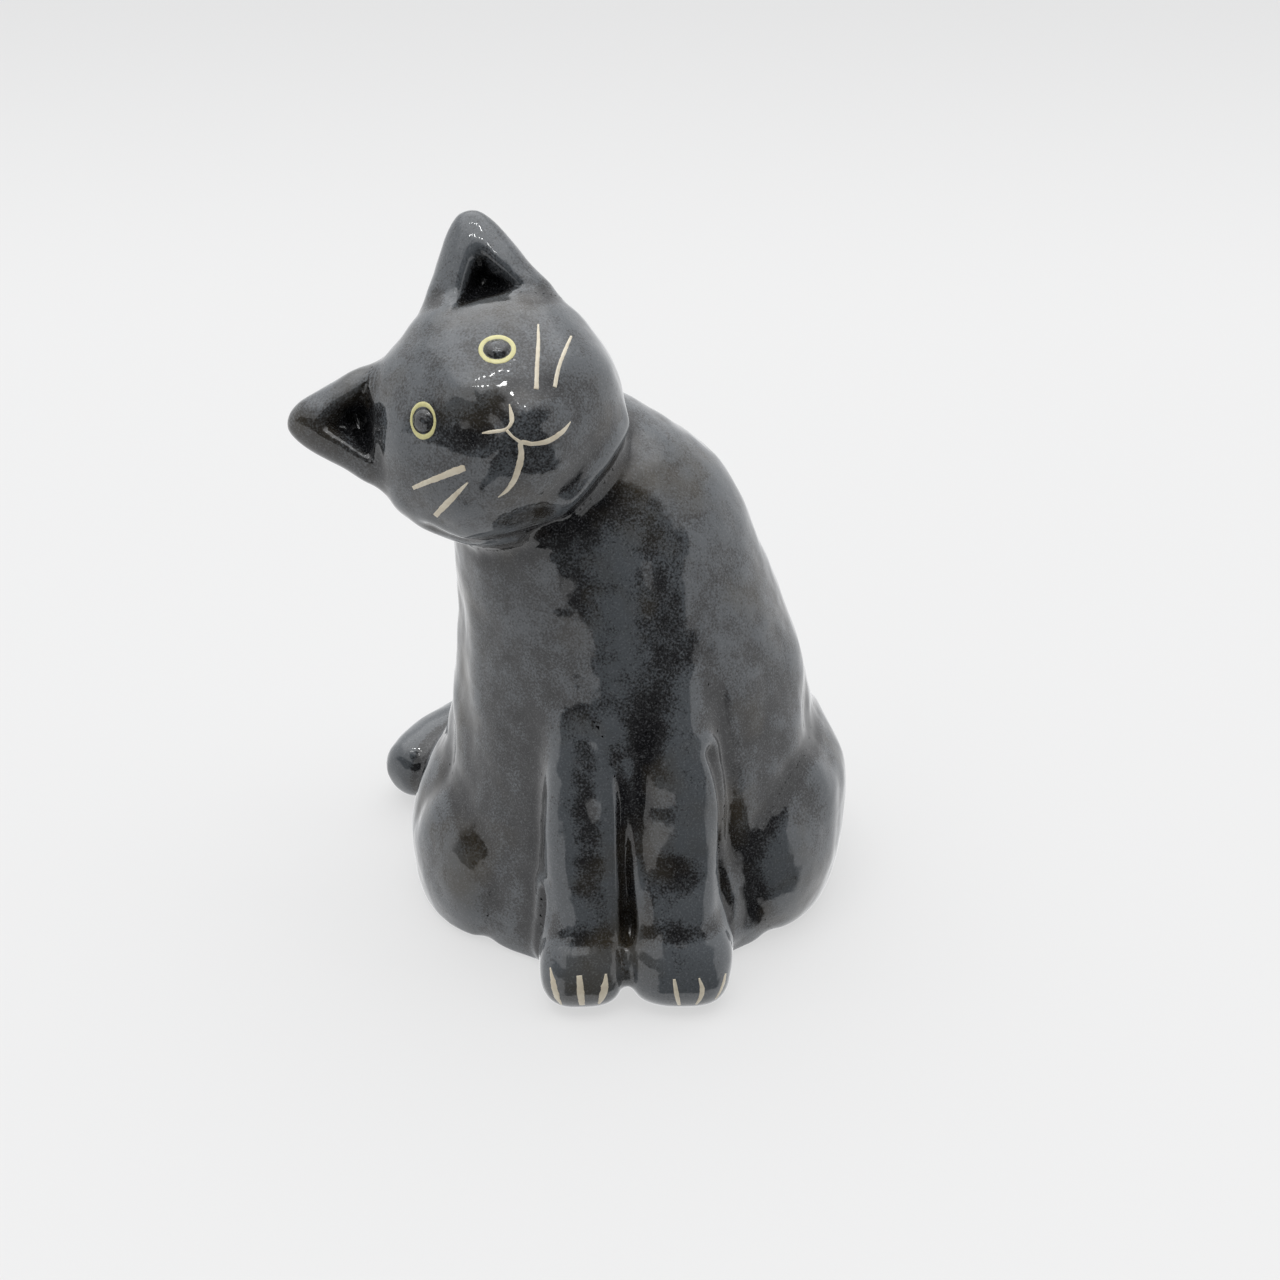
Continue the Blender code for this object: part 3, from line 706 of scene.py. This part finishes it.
swell((18, 3, 56), (11, 16, 10), (1.5, 0, 1.4))
swell((27.5, -2, 33), (3.0, 5.0, 5.0), (0.9, -0.3, 0))
swell((33.5, 0, 15), (4, 6, 5), (0.8, 0, 0))
swell((33.0, 2, 5), (4, 7, 3.4), (-0.9, 0, 0))
swell((31.5, -9, 20), (3.2, 3.0, 8), (0.7, -0.5, 0))
swell((-14, -16, 11), (5, 5, 6), (-0.5, -0.7, 0))
crease(HIP_FOLD, 2.6, -0.5)
crease(HIP_FOLD, 1.8, 0.3, 0.1)
crease(LEFT_THUMB_FOLD, 2.4, 0.35)
crease(RIGHT_THUMB_FOLD, 2.0, 0.45, 0.1)
crease(RIGHT_FLANK_FOLD, 2.4, 0.35, 0.15)


def hand_lumps(points, size, height):
    """Low uneven lumps, as fingers leave them."""
    return np.array([noise.noise(Vector(point) / size) for point in points])[:, None] * height


off_the_table = smooth_step(clay[:, 2] / 5.0)[:, None]
clay += outward() * (hand_lumps(clay, 7.0, 0.28) + hand_lumps(clay, 2.6, 0.07)) * off_the_table
clay[:, 2] = np.maximum(clay[:, 2], 0)
skin_points = clay * MM
skin_normals = outward()

# Glaze runs off the edges and into the hollows: below 0 in a hollow, above 0 on an edge.
rise = ((clay - beside(clay)) * skin_normals).sum(axis=1)[:, None]
for _ in range(10):
    rise = beside(rise)
pooling_and_painted_reflection = np.clip(rise[:, 0] / SHARP_RISE, -1, 1) * POOLED_WEIGHT
own = (clay - head_centre) @ face_turn
# The ears and muzzle are painted darker here: painted reflection of the dim room in the glaze.
for place, spread, amount in PAINTED_DARK_REFLECTIONS:
    pooling_and_painted_reflection -= amount * np.exp(-(((own - np.array(place)) / spread) ** 2).sum(axis=1))

# ---- Parting the skin into its clay pieces ----------------------------------------------------
# Each piece keeps its own stretch of the skin, and is closed by the face on which it is luted to
# its neighbours. The shading runs on across the seams, because the glaze covers them.

SHEET_DEEPEST = 2.6 * MM
SHEET_SLOPE = 0.45  # how steeply a luted face goes in from its rim
SHEET_REACH = 30  # how far from a seam the luted face is worked out, in grains and in millimetres
LUTED_BY_SHEET = ("foreleg_left", "foreleg_right", "haunch_left", "haunch_right", "tail")

skin_faces = [tuple(face.vertices) for face in skin.data.polygons]
from_seam = np.where(seam_strength(0)[:, 0] > 0, 0.0, float(SHEET_REACH))
for _ in range(SHEET_REACH):
    farther = from_seam[skin_edges] + GRAIN / MM
    np.minimum.at(from_seam, skin_edges[:, 0], farther[:, 1])
    np.minimum.at(from_seam, skin_edges[:, 1], farther[:, 0])
sheet_depth = np.minimum(from_seam * SHEET_SLOPE * MM, SHEET_DEEPEST)[:, None]
sheet_points = skin_points - skin_normals * sheet_depth
sheet_points[:, 2] = np.maximum(sheet_points[:, 2], 0)


def closed_piece(name, faces, sheets):
    """A closed mesh: faces of the skin, the luted faces (sheets) given under the skin, and any
    loop that is still open filled in."""
    maker = bmesh.new()
    made = {}

    def corner(k, under):
        key = (k, under and from_seam[k] > 0)
        if key not in made:
            made[key] = maker.verts.new(sheet_points[k] if key[1] else skin_points[k])
        return made[key]

    for face in faces:
        maker.faces.new([corner(k, False) for k in face])
    for face in sheets:
        maker.faces.new([corner(k, True) for k in face])
    rim = [edge for edge in maker.edges if edge.is_boundary]
    filled = bmesh.ops.holes_fill(maker, edges=rim, sides=0)["faces"]
    for face in filled:
        beside_it = face.loops[0].link_loop_radial_next
        if beside_it.vert == face.loops[0].vert:
            face.normal_flip()
    bmesh.ops.triangulate(maker, faces=filled)
    mesh = bpy.data.meshes.new(name)
    maker.to_mesh(mesh)
    maker.free()
    mesh.shade_smooth()
    mesh.normals_split_custom_set_from_vertices([skin_normals[k] for k, _ in made])
    depth = mesh.attributes.new("pooling_and_painted_reflection", "FLOAT", "POINT")
    depth.data.foreach_set("value", [pooling_and_painted_reflection[k] for k, _ in made])
    return add_object(name, mesh)


def decorate(piece, node_name, material):
    """Gives a piece its material, hangs it on the root body, and hides the CAD piece that it shows."""
    piece.data.materials.append(material)
    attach(piece, "root")
    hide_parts(node_name)


skin_tree = BVHTree.FromPolygons([Vector(point) for point in skin_points], skin_faces)
for number, name in enumerate(CLAY_PIECES):
    own_faces = [skin_faces[k] for k in np.flatnonzero(face_owner == number)]
    sheets = []
    if name in LUTED_BY_SHEET:
        own_faces = [face for face in own_faces if from_seam[list(face)].max() > 0]
        sheets = [face[::-1] for face in own_faces]
    if name == "trunk":
        luted = [CLAY_PIECES.index(other) for other in LUTED_BY_SHEET]
        sheets = [skin_faces[k] for k in np.flatnonzero(np.isin(face_owner, luted))]
    decorate(closed_piece("glazed_" + name, own_faces, sheets), name, charcoal)
bpy.data.objects.remove(skin, do_unlink=True)

# ---- Whiskers, nose and mouth -----------------------------------------------------------------
# Lines cut through the raw glaze with a loop tool and filled flush with cream slip. Their edges
# are a little uneven, and they run out thin at one end where the tool was lifted.

SLIP_CREAM = (0.71, 0.65, 0.52, 1)
SLIP_BURNT = (0.40, 0.31, 0.19, 1)
SLIP_DEEP = 0.30  # how deep the cut is, in millimetres
CUT_FLOOR = 0.7  # how wide the cut's floor is, as a share of the stroke
RAGGED = 0.16  # how uneven a stroke's edges are, as a share of its width
STEP = 0.16  # millimetres between the stroke's sections

# Each stroke: places sideways and up on the face, with the stroke's width, in millimetres.
FACE_STROKES = {
    "whisker_left_upper": ((11.6, 5.1, 0.30), (9.8, 3.2, 0.57), (7.9, 1.4, 0.64), (5.6, -0.8, 0.69)),
    "whisker_left_lower": ((13.5, 1.3, 0.34), (11.8, 0.5, 0.55), (9.6, -0.6, 0.57), (7.4, -2.1, 0.64)),
    "whisker_right_upper": ((-13.5, 1.9, 0.62), (-10.4, 0.3, 0.93), (-7.8, -1.0, 1.05), (-7.2, -1.4, 0.75)),
    "whisker_right_lower": ((-14.0, -2.4, 0.83), (-11.5, -2.6, 0.93), (-9.6, -2.7, 0.62), (-8.2, -2.8, 0.25)),
    "nose_line": (
        (-2.8, 0.0, 0.22), (-1.8, -0.8, 0.56), (-0.5, -1.75, 0.47),
        (0.5, -1.7, 0.56), (1.1, -1.2, 0.74), (2.0, 0.1, 0.16),
    ),
    "philtrum_line": ((-0.45, -1.9, 0.46), (-0.5, -3.0, 0.41), (-0.3, -4.1, 0.57)),
    "mouth_line": (
        (-6.9, -6.6, 0.18), (-5.6, -6.8, 0.65), (-4.0, -6.6, 0.91), (-2.4, -5.9, 1.01),
        (-1.2, -5.1, 0.91), (-0.3, -4.2, 0.73), (0.6, -5.2, 0.65), (1.9, -6.1, 0.81),
        (3.2, -6.5, 0.86), (4.6, -6.6, 0.73), (5.8, -6.4, 0.18),
    ),
}


def drawn(points):
    """A smooth line through rows of numbers, with a row every STEP."""
    keys = np.array(points, float)
    padded = np.vstack([2 * keys[0] - keys[1], keys, 2 * keys[-1] - keys[-2]])
    rows = []
    for k in range(len(keys) - 1):
        a, b, c, d = padded[k : k + 4]
        count = max(2, int(np.linalg.norm((c - b)[:-1]) / STEP))
        for t in np.arange(count) / count:
            square, cube = 2 * a - 5 * b + 4 * c - d, 3 * b - a - 3 * c + d
            rows.append((2 * b + (c - a) * t + square * t**2 + cube * t**3) / 2)
    rows.append(keys[-1])
    return rows


# Across a stroke: share of its half width, and height over the glaze.
STROKE_SECTION = ((-1, -0.06), (-0.8, 0.0), (-0.4, 0.04), (0, 0.05), (0.4, 0.04), (0.8, 0.0), (1, -0.06))


def inlay(name, rows, start_of, into, closed=False):
    """A stroke of slip let into the skin. Rows hold two flat numbers and a width. start_of turns
    the flat numbers into a place in front of the skin, and into points from there to the skin."""
    laid = []
    for *flat, width in rows:
        place, normal, _, _ = skin_tree.ray_cast(start_of(*flat), into)
        laid.append((place, normal, width))
    maker = bmesh.new()
    rings = []
    last = len(laid) - 1
    for k, (place, normal, width) in enumerate(laid):
        before = laid[(k - 1) % len(laid) if closed else max(k - 1, 0)][0]
        after = laid[(k + 1) % len(laid) if closed else min(k + 1, last)][0]
        across = (after - before).cross(normal).normalized()
        ring = []
        for share, height in STROKE_SECTION:
            side = 1 if share > 0 else -1
            ragged = 1 + RAGGED * noise.noise(place / MM * 1.7 + Vector((0, 0, 9.0 * side)))
            offset = across * share * ragged * width / 2 + normal * height
            ring.append(maker.verts.new(place + offset * MM))
        for share in (CUT_FLOOR, -CUT_FLOOR):
            offset = across * share * width / 2 - normal * SLIP_DEEP
            ring.append(maker.verts.new(place + offset * MM))
        rings.append(ring)
    pairs = list(zip(rings, rings[1:])) + ([(rings[-1], rings[0])] if closed else [])
    for ring, following in pairs:
        for k in range(len(ring)):
            j = (k + 1) % len(ring)
            maker.faces.new((ring[k], ring[j], following[j], following[k]))
    if not closed:
        maker.faces.new(rings[0])
        maker.faces.new(rings[-1])
    bmesh.ops.recalc_face_normals(maker, faces=maker.faces)
    mesh = bpy.data.meshes.new("inlaid_" + name)
    maker.to_mesh(mesh)
    maker.free()
    mesh.shade_smooth()
    return add_object("inlaid_" + name, mesh)


def slip_glaze(name, colour, burnt, amount):
    """Coloured slip under the clear part of the glaze, burnt darker in blotches."""
    material = bpy.data.materials.new(name)
    material.use_nodes = True
    tree = material.node_tree
    shader = tree.nodes["Principled BSDF"]
    place = node(tree, "ShaderNodeTexCoord").outputs["Object"]
    blotches = maths(tree, "MULTIPLY", placed(tree, mottle, place, Scale=700.0), amount)
    wire(tree, mixed(tree, blotches, colour, burnt), shader.inputs["Base Color"])
    shader.inputs["Roughness"].default_value = 0.28
    return material


cream_slip = slip_glaze("cream_slip", SLIP_CREAM, SLIP_BURNT, 0.35)


def before_face(left, top):
    return Vector(on_head(left, -60, top)) * MM


for name, points in FACE_STROKES.items():
    stroke = inlay(name, drawn(points), before_face, Vector(face_back))
    decorate(stroke, name, cream_slip)

# ---- Claws ------------------------------------------------------------------------------------
# Three strokes down the front of each paw, cut and filled in the same way as the face.

# Each claw: places sideways and up, with its width, in millimetres.
CLAWS = {
    "claw_right_outer": ((-3.5, 6.9, 0.30), (-3.1, 5.4, 0.93), (-2.7, 3.4, 1.08), (-2.1, 1.5, 0.45)),
    "claw_right_middle": ((0.3, 6.7, 0.90), (0.4, 5.0, 1.11), (0.5, 3.4, 1.05), (0.6, 1.8, 0.90)),
    "claw_right_inner": ((3.7, 6.6, 0.36), (3.6, 5.2, 1.05), (3.3, 3.6, 1.14), (2.8, 1.9, 0.45)),
    "claw_left_inner": ((12.5, 6.3, 0.41), (12.7, 4.9, 0.72), (12.95, 3.2, 0.72), (13.2, 1.5, 0.55)),
    "claw_left_middle": ((15.7, 6.4, 0.24), (16.1, 4.9, 0.72), (16.0, 3.4, 0.72), (15.4, 1.6, 0.41)),
    "claw_left_outer": ((19.2, 5.6, 0.58), (18.9, 4.3, 0.84), (18.5, 3.2, 0.72), (17.9, 1.9, 0.29)),
}


def before_paw(sideways, height):
    return Vector((sideways, -80, height)) * MM


for name, points in CLAWS.items():
    stroke = inlay(name, drawn(points), before_paw, Vector((0, 1, 0)))
    decorate(stroke, name, cream_slip)

# ---- Eyes -------------------------------------------------------------------------------------
# A ring cut with a small tube and filled with pale yellow slip, which has bled a thin olive line
# into the glaze. The pupil is a low drop of the same dark glaze inside it.

SLIP_YELLOW = (0.66, 0.62, 0.31, 1)
SLIP_OLIVE = (0.30, 0.28, 0.06, 1)
EYE_POINTS = 48
# Each eye: sideways, up, half width and half height of the ring's middle, its turn, and the
# ring's width at its narrowest and widest.
EYES = {
    "left": (5.75, 6.15, 2.0, 1.6, radians(-45), 0.7, 0.82),
    "right": (-6.75, 6.45, 1.5, 2.0, radians(-38), 0.46, 0.78),
}
PUPIL_RISE = 0.6  # millimetres that the bead stands above the ring
# The pupil's rounds: how far out of the eye's middle, and how high, as shares of its rise.
PUPIL_ROUNDS = (
    (0.0, 1.0), (0.3, 0.93), (0.55, 0.76), (0.75, 0.5), (0.88, 0.24), (0.96, 0.04), (0.98, -0.6)
)

yellow_slip = slip_glaze("yellow_slip", SLIP_YELLOW, SLIP_OLIVE, 0.25)
pupil_glaze = charcoal.copy()
pupil_glaze.name = "black_glaze"


def eye_row(k, left, top, half_width, half_height, turn, thin, thick):
    """One place on the ring's middle, and the ring's width there."""
    t = 2 * pi * k / EYE_POINTS
    wide, high = half_width * cos(t), half_height * sin(t)
    sideways = left + wide * cos(turn) - high * sin(turn)
    upwards = top + wide * sin(turn) + high * cos(turn)
    return sideways, upwards, thin + (thick - thin) * sin(t) ** 2


def bead(name, left, top, half_width, rows):
    """A low drop of glaze that fills the ring given by rows."""
    maker = bmesh.new()
    rounds = []
    for share, height in PUPIL_ROUNDS:
        flats = [(left, top)]
        if share > 0:
            shares = [share * (1 - width / 2 / half_width) for _, _, width in rows]
            flats = [(left + f * (a - left), top + f * (b - top)) for f, (a, b, _) in zip(shares, rows)]
        made = []
        for flat in flats:
            place, normal, _, _ = skin_tree.ray_cast(before_face(*flat), Vector(face_back))
            made.append(maker.verts.new(place + normal * height * PUPIL_RISE * MM))
        rounds.append(made)
    for k in range(EYE_POINTS):
        j = (k + 1) % EYE_POINTS
        maker.faces.new((rounds[0][0], rounds[1][k], rounds[1][j]))
        for inner, outer in zip(rounds[1:], rounds[2:]):
            maker.faces.new((inner[k], outer[k], outer[j], inner[j]))
    maker.faces.new(rounds[-1])
    bmesh.ops.recalc_face_normals(maker, faces=maker.faces)
    mesh = bpy.data.meshes.new(name)
    maker.to_mesh(mesh)
    maker.free()
    mesh.shade_smooth()
    return add_object(name, mesh)


for side, eye in EYES.items():
    rows = [eye_row(k, *eye) for k in range(EYE_POINTS)]
    ring = inlay("eye_ring_" + side, rows, before_face, Vector(face_back), closed=True)
    decorate(ring, "eye_ring_" + side, yellow_slip)
    pupil = bead("glaze_pupil_" + side, *eye[:3], rows)
    decorate(pupil, "pupil_" + side, pupil_glaze)
